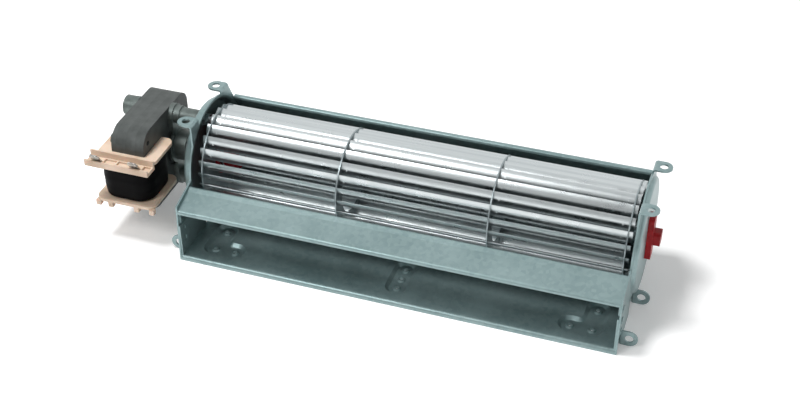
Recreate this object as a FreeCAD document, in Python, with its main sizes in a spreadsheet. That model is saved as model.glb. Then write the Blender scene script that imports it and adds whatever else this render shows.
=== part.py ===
import FreeCAD, Part
import math
import os
import re
import Sketcher
from FreeCAD import Placement, Rotation, Vector

# Cross flow (tangential) fan with a shaded-pole motor.
# Every piece is drawn about the impeller axis: X runs along it, from the motor to the bearing end,
# Y points to the back and Z up. The origin of the finished part lies under the middle of the flat
# floor, so each piece is then raised by the height of the axis and moved back by half the floor.
doc = FreeCAD.newDocument("cross_flow_fan")

# Driving sizes, in millimetres and degrees; angles round the axis count from the top to the back
sizes = {
    "axis_height": 41.0,
    "floor_depth": 57.4,
    "housing_length": 260.0,
    "sheet_wall": 1.0,
    "slip_gap": 0.1,
    "running_gap": 0.04,
    # Scroll sheet
    "scroll_radius": 37.13,
    "scroll_turn": 126.1,
    "lip_curl_radius": 0.8,
    "lip_curl_turn": 240.0,
    "floor_lift": 2.0,
    "front_bend": 1.2,
    "flap_front": 56.4,
    "flap_rear": 24.5,
    "flap_top": 16.6,
    "flap_corner": 6.0,
    # Pads pressed down out of the floor, with burred holes
    "pad_half_width": 6.8,
    "pad_inner_corner": 2.0,
    "pad_slope": 45.0,
    "collar_radius": 2.6,
    "collar_top_radius": 2.0,
    "collar_height": 1.0,
    "collar_hole": 1.3,
    "hole_outer_x": 114.3,
    "hole_inner_x": 101.7,
    "hole_back_y": 26.6,
    "hole_front_y": 43.1,
    "hole_middle_y": 35.0,
    # Tongue sheet
    "tongue_front": 54.9,
    "tongue_edge_drop": 8.4,
    "tongue_edge_run": 0.8,
    "tongue_edge_radius": 0.8,
    "tongue_slope": 17.0,
    "tongue_run": 13.6,
    "tongue_step_slope": 30.0,
    "tongue_step_run": 2.4,
    "tongue_step_radius": 2.0,
    "tongue_curl_radius": 0.6,
    "tongue_curl_turn": 200.0,
    "tongue_flap_drop": 15.6,
    # End plates
    "plate_rear_radius": 37.9,
    "plate_top_radius": 35.4,
    "plate_nose_y": 55.5,
    "plate_nose_drop": 3.5,
    "plate_brow_z": 1.5,
    "cap_root_radius": 34.4,
    "cap_slope": 17.0,
    "cap_root_bend": 1.8,
    "cap_crest_bend": 1.5,
    "motor_cap_depth": 5.4,
    "bearing_cap_depth": 2.5,
    "motor_opening": 15.0,
    # Fixing lugs
    "lug_width": 9.8,
    "lug_hole": 2.4,
    "lug_hole_reach": 5.65,
    "lug_bend": 0.8,
    "lug_top": 35.0,
    "lug_rear_y": 18.2,
    "lug_rear_foot": 30.2,
    "lug_front_y": 23.4,
    "side_lug_rear_y": 10.5,
    "side_lug_front_y": 47.0,
    "side_lug_rear_window": 13.0,
    "side_lug_front_window": 9.4,
    # Clinched joints of the flaps
    "clinch_radius": 1.6,
    "clinch_depth": 0.5,
    "clinch_front_y": 51.5,
    "clinch_top_drop": 12.4,
    "clinch_middle_drop": 20.5,
    "clinch_low_drop": 28.0,
    # Impeller
    "impeller_radius": 30.0,
    "impeller_end_room": 4.5,
    "motor_segment_share": 0.3347,
    "middle_segment_share": 0.3586,
    "disc_wall": 0.8,
    "ring_inner_radius": 20.5,
    "blade_count": 24,
    "blade_wall": 0.55,
    "blade_tip_radius": 29.4,
    "blade_inner_radius": 24.0,
    "blade_sweep": 13.5,
    "blade_camber": 1.1,
    "blade_phase": 7.5,
    "blade_overhang": 2.5,
    # Rubber hub at the motor end
    "hub_disc_hole": 10.0,
    "hub_flange_radius": 23.4,
    "hub_front_radius": 12.5,
    "hub_flange_back": 1.5,
    "hub_flange_front": 2.0,
    "hub_boss_radius": 8.5,
    "hub_boss_reach": 12.0,
    "hub_clip_wall": 0.9,
    "hub_clip_width": 2.0,
    "insert_radius": 4.4,
    # Bearing end
    "stub_radius": 2.0,
    "stub_collar_radius": 7.0,
    "stub_collar_wall": 1.4,
    "bush_radius": 3.2,
    "bush_length": 7.0,
    "support_width": 9.6,
    "support_height": 28.6,
    "support_wall": 3.3,
    "support_boss": 8.5,
    "support_boss_reach": 4.2,
    "support_corner": 2.2,
    "support_neck": 5.2,
    "support_flange": 8.0,
    "support_flange_wall": 1.4,
    "support_end_wall": 1.2,
    # Motor
    "motor_standoff": 21.1,
    "stack_length": 21.0,
    "core_half_height": 28.0,
    "core_front": 38.5,
    "core_rear": 20.0,
    "core_front_corner": 11.5,
    "core_rear_corner": 8.5,
    "core_arm_inside": 14.5,
    "core_window_rear": 14.5,
    "limb_depth": 13.0,
    "pole_slot": 3.0,
    "bore_radius": 13.3,
    "air_gap": 0.35,
    "shaft_radius": 2.5,
    "screw_radius": 2.0,
    "screw_offset": 22.0,
    "rivet_hole_radius": 1.6,
    "shading_strap": 2.0,
    "shading_span": 10.0,
    "shading_angle": 52.0,
    # Coil
    "bobbin_wall": 1.0,
    "bobbin_flange": 2.0,
    "bobbin_left": 19.0,
    "bobbin_right": 19.0,
    "bobbin_front": 50.5,
    "bobbin_rear": 15.6,
    "bobbin_corner": 5.0,
    "ledge_left": 22.0,
    "ledge_depth": 7.0,
    "ledge_drop": 2.0,
    "rib_height": 2.0,
    "rib_wall": 1.0,
    "tray_depth": 1.2,
    "tray_margin": 0.8,
    "foot_height": 3.4,
    "foot_width": 3.0,
    "winding_left": 16.5,
    "winding_right": 16.5,
    "winding_front": 48.5,
    "winding_rear": 16.2,
    "winding_corner": 10.0,
    "spade_width": 6.3,
    "spade_wall": 0.8,
    "spade_height": 8.5,
    "spade_lean": 32.0,
    "spade_taper": 1.2,
    "spade_hole": 0.9,
    "spade_root": 2.6,
    "spade_left_x": 14.6,
    "spade_right_x": 10.2,
    # Motor brackets
    "bracket_wall": 3.0,
    "bracket_width": 12.0,
    "bracket_end_radius": 6.4,
    "cup_radius": 9.5,
    "cup_length": 7.6,
    "column_radius": 4.75,
    "column_foot_radius": 5.6,
    "column_foot": 7.0,
    "rear_boss_length": 9.0,
    "rear_boss_radius": 6.2,
    "arm_front": 32.5,
    "arm_rise": 18.0,
    "arm_width": 6.4,
    "arm_clearance": 0.4,
    "ball_radius": 5.6,
    "ball_width": 8.0,
    "retainer_wall": 0.6,
    "washer_wall": 1.0,
    "washer_radius": 5.0,
    "nut_radius": 4.0,
    "nut_height": 3.2,
    "screw_head_radius": 3.7,
    "screw_head_height": 2.8,
}

sheet = doc.addObject("Spreadsheet::Sheet", "Sizes")
for row, (alias, number) in enumerate(sizes.items(), start=1):
    sheet.set(f"A{row}", alias)
    sheet.set(f"B{row}", str(number))
    sheet.setAlias(f"B{row}", alias)
doc.recompute()


class SheetReader:
    # Gives a size of the sheet by its name
    def __getattr__(self, alias):
        return float(sheet.get(alias))


size = SheetReader()
pieces = []


# Helpers for sizes, outlines and bodies

def bind(thing, target, formula):
    # Ties a property to the sheet: every size name in the formula becomes a cell reference
    named = re.sub(r"[a-z_]+", lambda word: "Sizes." + word.group() if word.group() in sizes else word.group(),
                   formula)
    thing.setExpression(target, named)


def seat_on_axis(thing):
    # Moves a piece drawn about the impeller axis to its place over the floor
    bind(thing, "Placement.Base.y", "floor_depth / 2")
    bind(thing, "Placement.Base.z", "axis_height")


def new_body(name):
    body = doc.addObject("PartDesign::Body", name)
    body.Label = name
    seat_on_axis(body)
    pieces.append(body)
    return body


def origin_item(body, role):
    return next(item for item in body.Origin.OriginFeatures if item.Role == role)


def new_sketch(body, name, role, depth="0"):
    # A sketch on one of the body's own planes, moved along that plane's normal by depth
    flat = body.newObject("Sketcher::SketchObject", name)
    flat.AttachmentSupport = (origin_item(body, role), [""])
    flat.MapMode = "FlatFace"
    bind(flat, "AttachmentOffset.Base.z", depth)
    return flat


def draw(flat, segments):
    # A segment is two points for a line, or three for an arc through the middle one
    for points in segments:
        corners = [Vector(across, up, 0) for across, up in points]
        flat.addGeometry(Part.LineSegment(*corners) if len(corners) == 2 else Part.Arc(*corners))


def polygon(*points):
    return list(zip(points, points[1:] + points[:1]))


def rounded_box(left, right, low, high, corner):
    # Rectangle with four round corners, as lines and arcs
    cut = corner * (1 - math.sqrt(0.5))
    return [
        ((left + corner, low), (right - corner, low)),
        ((right - corner, low), (right - cut, low + cut), (right, low + corner)),
        ((right, low + corner), (right, high - corner)),
        ((right, high - corner), (right - cut, high - cut), (right - corner, high)),
        ((right - corner, high), (left + corner, high)),
        ((left + corner, high), (left + cut, high - cut), (left, high - corner)),
        ((left, high - corner), (left, low + corner)),
        ((left, low + corner), (left + cut, low + cut), (left + corner, low)),
    ]


def add_circle(flat, centre, radius):
    # A circle whose radius is tied to a formula of the sheet
    circle = flat.addGeometry(Part.Circle(Vector(*centre, 0), Vector(0, 0, 1), 1.0))
    number = flat.addConstraint(Sketcher.Constraint("Radius", circle, 1.0))
    bind(flat, f"Constraints[{number}]", radius)


def bent_strip(start, heading, wall, moves):
    # Outline of a folded sheet seen edge-on. It follows one face; the wall lies to the left of the way.
    # A move is a run (a length) or a bend (degrees to the left, radius of the followed face).
    followed, other = [], []
    place, turn = start, math.radians(heading)
    for move in moves:
        left = (-math.sin(turn), math.cos(turn))
        across = (place[0] + left[0] * wall, place[1] + left[1] * wall)
        if isinstance(move, tuple):
            bend, radius = math.radians(move[0]), math.copysign(move[1], move[0])
            hub = (place[0] + left[0] * radius, place[1] + left[1] * radius)
            followed.append(tuple(rotated(place, hub, bend * share) for share in (0, 0.5, 1)))
            other.append(tuple(rotated(across, hub, bend * share) for share in (1, 0.5, 0)))
            turn += bend
        else:
            step = (math.cos(turn) * move, math.sin(turn) * move)
            followed.append((place, (place[0] + step[0], place[1] + step[1])))
            other.append(((across[0] + step[0], across[1] + step[1]), across))
        place = followed[-1][-1]
    other.reverse()
    return followed + [(place, other[0][0])] + other + [(other[-1][-1], start)]


def rotated(point, hub, angle):
    along, up = point[0] - hub[0], point[1] - hub[1]
    return (hub[0] + along * math.cos(angle) - up * math.sin(angle),
            hub[1] + along * math.sin(angle) + up * math.cos(angle))


def mirrored(segments, side):
    return [tuple((across * side, up) for across, up in points) for points in segments]


def pad(body, name, segments, role, depth, length, midplane=False):
    # Extrudes an outline along the plane's normal
    flat = new_sketch(body, name + "_outline", role, depth)
    draw(flat, segments)
    solid = body.newObject("PartDesign::Pad", name)
    solid.Profile = flat
    bind(solid, "Length", length)
    solid.Midplane = midplane
    return solid


def pocket(body, name, segments, role, depth, length):
    # Cuts an outline along the plane's normal
    flat = new_sketch(body, name + "_outline", role, depth)
    draw(flat, segments)
    return cut_along(body, name, flat, length)


def cut_along(body, name, flat, length):
    cut = body.newObject("PartDesign::Pocket", name)
    cut.Profile = flat
    cut.Reversed = True
    bind(cut, "Length", length)
    return cut


def turned(body, name, segments):
    # Turns an outline of lengths along the axis and radii about the impeller axis
    flat = new_sketch(body, name + "_outline", "XZ_Plane")
    draw(flat, segments)
    solid = body.newObject("PartDesign::Revolution", name)
    solid.Profile = flat
    solid.ReferenceAxis = (flat, ["H_Axis"])
    solid.Angle = 360
    return solid


def round_rod(body, name, kind, radius, length, base, direction):
    # An added or cut cylinder, with the radius and length tied to the sheet
    rod = body.newObject("PartDesign::" + kind + "Cylinder", name)
    bind(rod, "Radius", radius)
    bind(rod, "Height", length)
    rod.Placement = Placement(Vector(*base), Rotation(Vector(0, 0, 1), Vector(*direction)))
    return rod


def finish(thing):
    # Keeps a Part object as a piece of the model
    thing.Label = thing.Name
    seat_on_axis(thing)
    pieces.append(thing)


# Places along the axis that several pieces share

half_length = size.housing_length / 2
motor_disc_x = -half_length + size.impeller_end_room
bearing_disc_x = half_length - size.impeller_end_room
motor_cap_face = -(half_length + size.motor_cap_depth + size.sheet_wall)
bearing_cap_face = half_length + size.bearing_cap_depth + size.sheet_wall
core_near = motor_cap_face - size.motor_standoff
core_far = core_near - size.stack_length
motor_x = (core_near + core_far) / 2
along_x, along_y, along_z = (1, 0, 0), (0, 1, 0), (0, 0, 1)
floor_top = -size.axis_height + size.floor_lift + size.sheet_wall


# Scroll housing: one sheet with a rolled front edge, flat floor, scroll wall and curled lip

def make_scroll_housing():
    body = new_body("scroll_housing")
    start = (-size.floor_depth + size.sheet_wall, -size.axis_height)
    section = bent_strip(start, 90, size.sheet_wall, [
        size.floor_lift - size.front_bend,
        (-90, size.front_bend),
        size.floor_depth - size.sheet_wall - size.front_bend,
        (size.scroll_turn, size.scroll_radius),
        (-size.lip_curl_turn, size.lip_curl_radius),
    ])
    pad(body, "sheet", section, "YZ_Plane", "0", "housing_length", midplane=True)
    foot = floor_top - size.sheet_wall / 2
    flap = polygon((-size.flap_front, foot), (-size.flap_rear, foot),
                   (-size.flap_rear, -size.flap_top - size.flap_corner),
                   (-size.flap_rear - size.flap_corner, -size.flap_top), (-size.flap_front, -size.flap_top))
    pad(body, "motor_flap", flap, "YZ_Plane", "-housing_length / 2", "sheet_wall")
    pad(body, "bearing_flap", flap, "YZ_Plane", "housing_length / 2 - sheet_wall", "sheet_wall")
    corner = corner_pad_outline()
    add_floor_pad(body, "motor", mirrored(corner, -1))
    add_floor_pad(body, "middle", middle_pad_outline())
    add_floor_pad(body, "bearing", corner)
    for number, (along, back) in enumerate(hole_places(), start=1):
        add_burred_hole(body, number, along, back)
    for side in (-1, 1):
        for drop in (size.clinch_middle_drop, size.clinch_low_drop):
            add_clinch_dent(body, side, drop)


def hole_places():
    # Three holes near each end of the floor and a row of three in the middle
    corner = [(size.hole_outer_x, -size.hole_back_y), (size.hole_outer_x, -size.hole_front_y),
              (size.hole_inner_x, -size.hole_front_y)]
    row = [(0.0, -size.hole_back_y), (0.0, -size.hole_middle_y), (0.0, -size.hole_front_y)]
    return corner + [(-along, back) for along, back in corner] + row


def corner_pad_outline():
    # L-shaped rim round three holes, half a pad wide on every side of them
    wide, turn = size.pad_half_width, size.pad_inner_corner
    outer, inner, back, front = size.hole_outer_x, size.hole_inner_x, -size.hole_back_y, -size.hole_front_y
    bow, nook = wide * math.sqrt(0.5), turn * (1 - math.sqrt(0.5))
    left, high = outer - wide, front + wide
    return [
        ((outer + wide, back), (outer + wide, front)),
        ((outer + wide, front), (outer + bow, front - bow), (outer, front - wide)),
        ((outer, front - wide), (inner, front - wide)),
        ((inner, front - wide), (inner - wide, front), (inner, high)),
        ((inner, high), (left - turn, high)),
        ((left - turn, high), (left - nook, high + nook), (left, high + turn)),
        ((left, high + turn), (left, back)),
        ((left, back), (outer, back + wide), (outer + wide, back)),
    ]


def middle_pad_outline():
    # Oblong rim round the middle row of holes
    wide, back, front = size.pad_half_width, -size.hole_back_y, -size.hole_front_y
    return [
        ((wide, back), (wide, front)),
        ((wide, front), (0.0, front - wide), (-wide, front)),
        ((-wide, front), (-wide, back)),
        ((-wide, back), (0.0, back + wide), (wide, back)),
    ]


def add_floor_pad(body, name, rim):
    # A flat pad pressed down to the foot level: the sheet keeps its wall on the sloping sides
    press = pad(body, name + "_pad", rim, "XY_Plane", "-axis_height + floor_lift", "floor_lift")
    press.Reversed = True
    bind(press, "TaperAngle", "-pad_slope")
    hollow = pocket(body, name + "_pad_hollow", rim, "XY_Plane", "-axis_height + floor_lift + sheet_wall",
                    "floor_lift")
    hollow.Reversed = False
    bind(hollow, "TaperAngle", "-pad_slope")


def add_burred_hole(body, number, along, back):
    # A screw hole whose edge is drawn up into a short collar
    collar = body.newObject("PartDesign::AdditiveCone", f"collar_{number}")
    bind(collar, "Radius1", "collar_radius")
    bind(collar, "Radius2", "collar_top_radius")
    bind(collar, "Height", "collar_height")
    collar.Placement = Placement(Vector(along, back, -size.axis_height + size.sheet_wall), Rotation())
    round_rod(body, f"hole_{number}", "Subtractive", "collar_hole", "collar_height + sheet_wall",
              (along, back, -size.axis_height), along_z)


def add_clinch_dent(body, side, drop):
    # The round dent that a clinching punch leaves inside the flap
    start = (side * (half_length - size.sheet_wall), -size.clinch_front_y, -drop)
    round_rod(body, f"dent_{'near' if side > 0 else 'far'}_{int(drop)}", "Subtractive", "clinch_radius",
              "clinch_depth", start, (side, 0, 0))


# Tongue: the narrow sheet in front of the impeller that splits inlet from outlet

def make_tongue_plate():
    body = new_body("tongue_plate")
    start = (-size.tongue_front, -size.tongue_edge_drop)
    section = bent_strip(start, 90, size.sheet_wall, [
        size.tongue_edge_run,
        (size.tongue_slope - 90, size.tongue_edge_radius),
        size.tongue_run,
        (size.tongue_step_slope - size.tongue_slope, size.tongue_step_radius),
        size.tongue_step_run,
        (-size.tongue_curl_turn, size.tongue_curl_radius),
    ])
    pad(body, "sheet", section, "YZ_Plane", "0", "housing_length", midplane=True)
    slope = math.tan(math.radians(size.tongue_slope))
    brow = -size.tongue_edge_drop + size.tongue_edge_run + 1.2
    front, rear = -size.tongue_front + 0.5, -size.tongue_front + size.tongue_run
    flap = polygon((front, brow), (front, -size.tongue_flap_drop), (rear - 6, -size.tongue_flap_drop),
                   (rear, -size.tongue_flap_drop + 6), (rear, brow + (rear - front) * slope))
    pad(body, "motor_flap", flap, "YZ_Plane", "-housing_length / 2", "sheet_wall")
    pad(body, "bearing_flap", flap, "YZ_Plane", "housing_length / 2 - sheet_wall", "sheet_wall")
    for side in (-1, 1):
        add_clinch_dent(body, side, size.clinch_top_drop)


# End plates: flat cheeks with a drawn cap round the impeller end and four bent lugs each

def plate_outline():
    # Cheek outline from the bottom front corner, along the floor, up the scroll and over the cap
    centre = -size.axis_height + size.plate_rear_radius
    top = size.lug_top - size.lug_bend - size.sheet_wall
    foot = size.lug_rear_foot
    foot_angle = math.acos(foot / size.plate_rear_radius)
    half_way = (foot_angle - math.pi / 2) / 2
    low = (0.0, -size.axis_height)
    mid = (size.plate_rear_radius * math.cos(half_way), centre + size.plate_rear_radius * math.sin(half_way))
    shoulder = (foot, centre + size.plate_rear_radius * math.sin(foot_angle))
    rear = (-size.lug_width / 2 + size.lug_rear_y, size.lug_width / 2 + size.lug_rear_y)
    front = (-size.lug_width / 2 - size.lug_front_y, size.lug_width / 2 - size.lug_front_y)
    brow = (-math.sqrt(size.plate_top_radius ** 2 - size.plate_brow_z ** 2), size.plate_brow_z)
    on_top = [(across, math.sqrt(size.plate_top_radius ** 2 - across ** 2)) for across in (rear[0], front[1], front[0])]
    return [
        ((-size.floor_depth, -size.axis_height), low),
        (low, mid, shoulder),
        (shoulder, (rear[1], top)),
        ((rear[1], top), (rear[0], top)),
        ((rear[0], top), on_top[0]),
        (on_top[0], (0.0, size.plate_top_radius), on_top[1]),
        (on_top[1], (front[1], top)),
        ((front[1], top), (front[0], top)),
        ((front[0], top), on_top[2]),
        (on_top[2], between_on_circle(on_top[2], brow), brow),
        (brow, (-size.plate_nose_y, -size.plate_nose_drop)),
        ((-size.plate_nose_y, -size.plate_nose_drop), (-size.floor_depth, -size.axis_height)),
    ]


def between_on_circle(first, second):
    # The point half way between two points of a circle about the axis
    middle = (first[0] + second[0], first[1] + second[1])
    scale = math.hypot(*first) / math.hypot(*middle)
    return (middle[0] * scale, middle[1] * scale)


def cap_section(depth, opening):
    # Wall section of the drawn cap as lengths outward from the inner face and radii
    slope = math.radians(size.cap_slope)
    bends = (size.cap_root_bend + size.cap_crest_bend) * (1 - math.sin(slope))
    wall_run = (depth - bends) / math.cos(slope)
    inner = size.cap_root_radius - wall_run * math.sin(slope)
    inner -= (size.cap_root_bend + size.cap_crest_bend) * math.cos(slope)
    return bent_strip((0.0, size.cap_root_radius), -90, size.sheet_wall, [
        (90 - size.cap_slope, size.cap_root_bend),
        wall_run,
        (size.cap_slope - 90, size.cap_crest_bend),
        inner - opening,
    ])


def make_end_plate(name, side, depth, opening):
    body = new_body(name)
    inner_face = "housing_length / 2" if side > 0 else "-housing_length / 2 - sheet_wall"
    pad(body, "cheek", plate_outline(), "YZ_Plane", inner_face, "sheet_wall")
    hole = new_sketch(body, "cap_hole_outline", "YZ_Plane", inner_face)
    add_circle(hole, (0, 0), "cap_root_radius")
    cut_along(body, "cap_hole", hole, "sheet_wall")
    section = [tuple((half_length + along, radius) for along, radius in points)
               for points in cap_section(depth, opening)]
    turned(body, "cap", mirrored(section, side))
    add_top_lug(body, "rear", side, size.lug_rear_y)
    add_top_lug(body, "front", side, -size.lug_front_y)
    add_side_lug(body, "side_rear", side, -size.side_lug_rear_y, size.side_lug_rear_window)
    add_side_lug(body, "side_front", side, -size.side_lug_front_y, size.side_lug_front_window)
    for drop in (size.clinch_top_drop, size.clinch_middle_drop, size.clinch_low_drop):
        start = (side * (half_length + size.sheet_wall), -size.clinch_front_y, -drop)
        round_rod(body, f"clinch_{int(drop)}", "Additive", "clinch_radius + clinch_depth", "clinch_depth",
                  start, (side, 0, 0))
    return body


def add_top_lug(body, name, side, across):
    # A strip that leaves the cheek upwards and is bent outwards level, with a round end and a hole
    reach, bend = size.lug_hole_reach, size.lug_bend + size.sheet_wall
    section = bent_strip((half_length + reach, size.lug_top), 180, size.sheet_wall, [
        reach - bend, (90, bend), size.sheet_wall])
    set_back(pad(body, name + "_lug", mirrored(section, side), "XZ_Plane", "0", "lug_width", midplane=True), -across)
    tip = (side * (half_length + reach), across, size.lug_top - size.sheet_wall)
    round_rod(body, name + "_lug_end", "Additive", "lug_width / 2", "sheet_wall", tip, along_z)
    round_rod(body, name + "_lug_hole", "Subtractive", "lug_hole", "sheet_wall", tip, along_z)


def add_side_lug(body, name, side, fold, opening):
    # A tab lanced out of the cheek at the floor: it leaves a window in front of its fold
    reach, bend = size.lug_hole_reach, size.lug_bend
    section = bent_strip((half_length + reach, fold), 180, size.sheet_wall, [
        reach - bend - size.sheet_wall, (-90, bend), size.sheet_wall])
    rear = fold + size.lug_bend
    front = rear - opening
    window = polygon((front, -size.axis_height), (rear, -size.axis_height),
                     (rear, -size.axis_height + size.lug_width), (front, -size.axis_height + size.lug_width))
    inner_face = "housing_length / 2" if side > 0 else "-housing_length / 2 - sheet_wall"
    pocket(body, name + "_window", window, "YZ_Plane", inner_face, "sheet_wall")
    pad(body, name + "_lug", mirrored(section, side), "XY_Plane", "-axis_height", "lug_width")
    tip = (side * (half_length + reach), fold - size.sheet_wall, -size.axis_height + size.lug_width / 2)
    round_rod(body, name + "_lug_end", "Additive", "lug_width / 2", "sheet_wall", tip, along_y)
    round_rod(body, name + "_lug_hole", "Subtractive", "lug_hole", "sheet_wall", tip, along_y)


# Impeller: aluminium blades pressed through slots of four discs

def blade_outline(spare):
    # Curved strip section with its tip at the blade phase; spare widens it for the slots
    tip_angle = math.radians(size.blade_phase)
    root_angle = math.radians(size.blade_phase - size.blade_sweep)
    tip = (size.blade_tip_radius * math.sin(tip_angle), size.blade_tip_radius * math.cos(tip_angle))
    root = (size.blade_inner_radius * math.sin(root_angle), size.blade_inner_radius * math.cos(root_angle))
    chord = math.dist(tip, root)
    normal = (-(tip[1] - root[1]) / chord, (tip[0] - root[0]) / chord)
    bow = (chord ** 2 / 4 + size.blade_camber ** 2) / (2 * size.blade_camber)
    drop = size.blade_camber - bow
    hub = ((tip[0] + root[0]) / 2 + normal[0] * drop, (tip[1] + root[1]) / 2 + normal[1] * drop)
    middle = math.atan2(normal[1], normal[0])
    spread = math.asin(chord / 2 / bow) + spare / bow
    faces = [[(hub[0] + radius * math.cos(middle + turn), hub[1] + radius * math.sin(middle + turn))
              for turn in (-spread, 0, spread)]
             for radius in (bow + size.blade_wall / 2 + spare, bow - size.blade_wall / 2 - spare)]
    outer, inner = faces
    return [tuple(outer), (outer[2], inner[2]), tuple(reversed(inner)), (inner[0], outer[0])]


def make_blades():
    count = int(size.blade_count)
    length = "housing_length - 2 * impeller_end_room + 2 * blade_overhang"
    for number in range(count):
        body = new_body(f"blade_{number + 1:02d}")
        pad(body, "strip", blade_outline(0), "YZ_Plane", "0", length, midplane=True)
        body.Placement = Placement(Vector(), Rotation(Vector(*along_x), -360 * number / count))


def make_disc(name, centre, hole):
    # A thin disc with one closed slot for each blade
    body = new_body(name)
    flat = new_sketch(body, "disc_outline", "YZ_Plane", centre + " - disc_wall / 2")
    add_circle(flat, (0, 0), "impeller_radius")
    add_circle(flat, (0, 0), hole)
    disc = body.newObject("PartDesign::Pad", "disc")
    disc.Profile = flat
    bind(disc, "Length", "disc_wall")
    slot = pocket(body, "slot", blade_outline(size.slip_gap), "YZ_Plane", centre + " - disc_wall / 2", "disc_wall")
    ring = body.newObject("PartDesign::PolarPattern", "slots")
    ring.Originals = [slot]
    ring.Axis = (origin_item(body, "X_Axis"), [""])
    ring.Angle = 360
    bind(ring, "Occurrences", "blade_count")
    body.Tip = ring


def make_rubber_hub():
    # Flange gripping the end disc on both sides of its hole, and a boss round the shaft insert
    body = new_body("rubber_hub")
    back, front = motor_disc_x - size.hub_flange_back, motor_disc_x + size.hub_flange_front
    groove = size.disc_wall / 2 + size.slip_gap / 2
    hole = size.hub_disc_hole - size.slip_gap
    bore = size.insert_radius + size.running_gap
    end = motor_disc_x + size.hub_boss_reach
    turned(body, "hub", polygon(
        (back, bore), (back, size.hub_flange_radius - 0.8), (back + 0.8, size.hub_flange_radius),
        (motor_disc_x - groove, size.hub_flange_radius), (motor_disc_x - groove, hole),
        (motor_disc_x + groove, hole), (motor_disc_x + groove, size.hub_front_radius),
        (front - 0.8, size.hub_front_radius), (front, size.hub_front_radius - 0.8),
        (front, size.hub_boss_radius), (end - 0.8, size.hub_boss_radius), (end, size.hub_boss_radius - 0.8),
        (end, bore)))


def make_hub_fittings():
    # Spring ring round the foot of the boss, and the metal sleeve that the shaft is pressed into
    front = motor_disc_x + size.hub_flange_front
    clip = new_body("hub_clip")
    low = size.hub_boss_radius + size.running_gap
    turned(clip, "ring", polygon(
        (front, low), (front, low + size.hub_clip_wall),
        (front + size.hub_clip_width, low + size.hub_clip_wall), (front + size.hub_clip_width, low)))
    insert = new_body("hub_insert")
    back = motor_disc_x - size.hub_flange_back
    end = motor_disc_x + size.hub_boss_reach + 0.6
    bore = size.shaft_radius + size.running_gap / 2
    turned(insert, "sleeve", polygon(
        (back, bore), (back, size.insert_radius), (end - 0.4, size.insert_radius), (end, size.insert_radius - 0.4),
        (end, bore)))


def make_stub_shaft():
    # Short pin riveted through the last disc, which turns in the bush
    body = new_body("stub_shaft")
    disc_in, disc_out = bearing_disc_x - size.disc_wall / 2, bearing_disc_x + size.disc_wall / 2
    neck = size.stub_radius + 1
    head = size.stub_collar_radius - 2.5
    end = bearing_cap_face + size.support_wall + size.support_boss_reach - size.support_end_wall - 1.2
    turned(body, "pin", polygon(
        (disc_in - 1.2, 0), (disc_in - 1.2, head - 0.8), (disc_in, head), (disc_in, neck), (disc_out, neck),
        (disc_out, size.stub_collar_radius), (disc_out + size.stub_collar_wall, size.stub_collar_radius),
        (disc_out + size.stub_collar_wall, size.stub_radius), (end - 0.5, size.stub_radius),
        (end, size.stub_radius - 0.5), (end, 0)))


# Bearing end: silicone support snapped into the cap, with a sintered bush

def make_bearing_support():
    body = new_body("bearing_support")
    face = bearing_cap_face
    corner = size.support_corner
    bar = rounded_box(-size.support_width / 2, size.support_width / 2, -size.support_height / 2,
                      size.support_height / 2, corner)
    pad(body, "bar", bar, "YZ_Plane", "housing_length / 2 + bearing_cap_depth + sheet_wall", "support_wall")
    half = size.support_boss / 2
    boss = rounded_box(-half, half, -half, half, corner)
    pad(body, "boss", boss, "YZ_Plane", "housing_length / 2 + bearing_cap_depth + sheet_wall + support_wall",
        "support_boss_reach")
    inner = face - size.sheet_wall
    neck = size.support_neck - size.slip_gap
    turned(body, "neck", polygon(
        (inner - size.support_flange_wall, 0), (inner - size.support_flange_wall, size.support_flange - 0.6),
        (inner - 0.6, size.support_flange), (inner, size.support_flange), (inner, neck), (face + 0.5, neck),
        (face + 0.5, 0)))
    end = face + size.support_wall + size.support_boss_reach - size.support_end_wall
    start = (inner - size.support_flange_wall, 0, 0)
    bore = round_rod(body, "bore", "Subtractive", "bush_radius + running_gap / 2", "1", start, along_x)
    bore.setExpression("Height", None)
    bore.Height = end - start[0]


def make_bearing_bush():
    body = new_body("bearing_bush")
    end = bearing_cap_face + size.support_wall + size.support_boss_reach - size.support_end_wall
    back = end - size.bush_length
    bore = size.stub_radius + size.running_gap
    turned(body, "bush", polygon(
        (back, bore + 0.3), (back, size.bush_radius - 0.3), (back + 0.3, size.bush_radius),
        (end, size.bush_radius), (end, bore), (back + 0.3, bore)))


# Motor: laminated core, rotor, coil, brackets and bearings

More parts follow.
